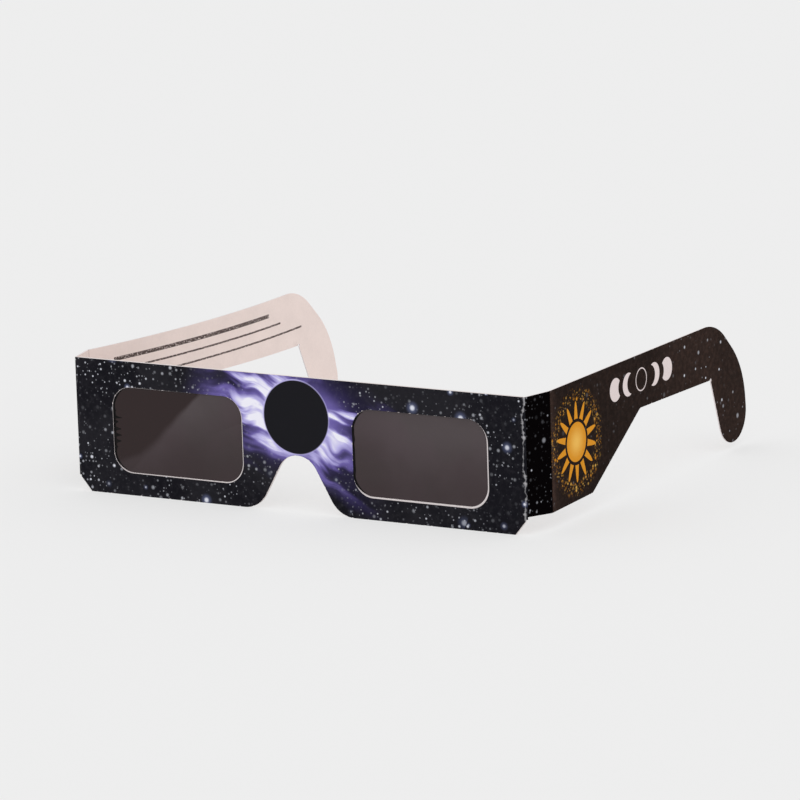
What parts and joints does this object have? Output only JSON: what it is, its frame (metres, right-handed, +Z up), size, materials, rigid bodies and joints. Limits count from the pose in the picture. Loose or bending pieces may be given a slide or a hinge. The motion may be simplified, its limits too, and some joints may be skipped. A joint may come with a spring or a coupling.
{
  "type": "eclipse glasses",
  "caption": "Folding card eclipse glasses: a printed front with two dark filter films, a nose arch, and creased card temples that end in ear hooks.",
  "frame": {"origin": "middle of the nose arch's open foot: level with the front's lower edge, on its outer face", "axes": "+Z up, +Y back towards the wearer, +X towards the wearer's left"},
  "size_m": [0.156, 0.1327, 0.04],
  "materials": {
    "printed_card": "satin varnished print on solid card",
    "plain_card": "uncoated solid card",
    "scored_card": "cracked print on a pressed crease of solid card",
    "filter_film": "glossy dark polymer film",
    "adhesive": "dried adhesive"
  },
  "bodies": {
    "front": {"outer_card": "printed_card", "adhesive_layer": "adhesive", "left_film": "filter_film", "right_film": "filter_film", "liner_card": "plain_card", "left_front_crease": "scored_card", "right_front_crease": "scored_card"},
    "left_return": {"left_return": "printed_card", "left_temple_crease": "scored_card"},
    "left_temple": {"left_temple": "printed_card"},
    "right_return": {"right_return": "printed_card", "right_temple_crease": "scored_card"},
    "right_temple": {"right_temple": "printed_card"}
  },
  "joints": [
    {"name": "left_front_fold", "type": "hinge", "parent": "front", "child": "left_return", "pos_m": [0.0754, 0.00022, 0.02], "axis": [0, 0, 1], "range_deg": [-76.6, 18.4]},
    {"name": "left_temple_fold", "type": "hinge", "parent": "left_return", "child": "left_temple", "pos_m": [0.07779, 0.01024, 0.02], "axis": [0, 0, 1], "range_deg": [-14.1, 72.9]},
    {"name": "right_front_fold", "type": "hinge", "parent": "front", "child": "right_return", "pos_m": [-0.0754, 0.00022, 0.02], "axis": [0, 0, -1], "range_deg": [-76.6, 18.4]},
    {"name": "right_temple_fold", "type": "hinge", "parent": "right_return", "child": "right_temple", "pos_m": [-0.07779, 0.01024, 0.02], "axis": [0, 0, -1], "range_deg": [-28.7, 58.3]}
  ]
}
